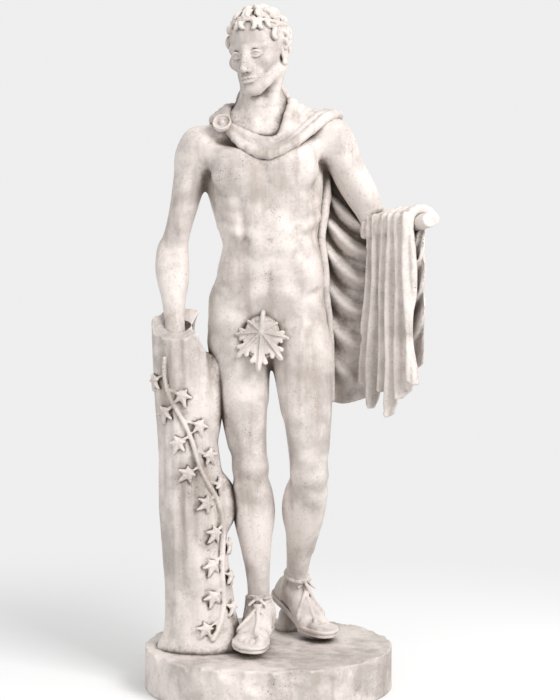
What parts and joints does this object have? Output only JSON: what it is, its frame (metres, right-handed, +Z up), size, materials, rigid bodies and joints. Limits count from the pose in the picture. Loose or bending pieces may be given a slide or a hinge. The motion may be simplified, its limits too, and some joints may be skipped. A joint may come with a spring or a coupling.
{
  "type": "marble statue",
  "caption": "Life-size weathered marble figure of a standing youth with a pinned cloak, fig leaf and sandals, beside a tree trunk on a round plinth.",
  "frame": {"origin": "centre of the round plinth's underside, where it stands on the floor", "axes": "+Z up, +X to the figure's left, -Y the way the figure faces"},
  "size_m": [0.8474, 0.7242, 1.9801],
  "materials": {
    "marble": "carved, rubbed and weathered, with brown-grey dirt in the hollows"
  },
  "bodies": {
    "root": {"statue": "marble"}
  },
  "joints": []
}
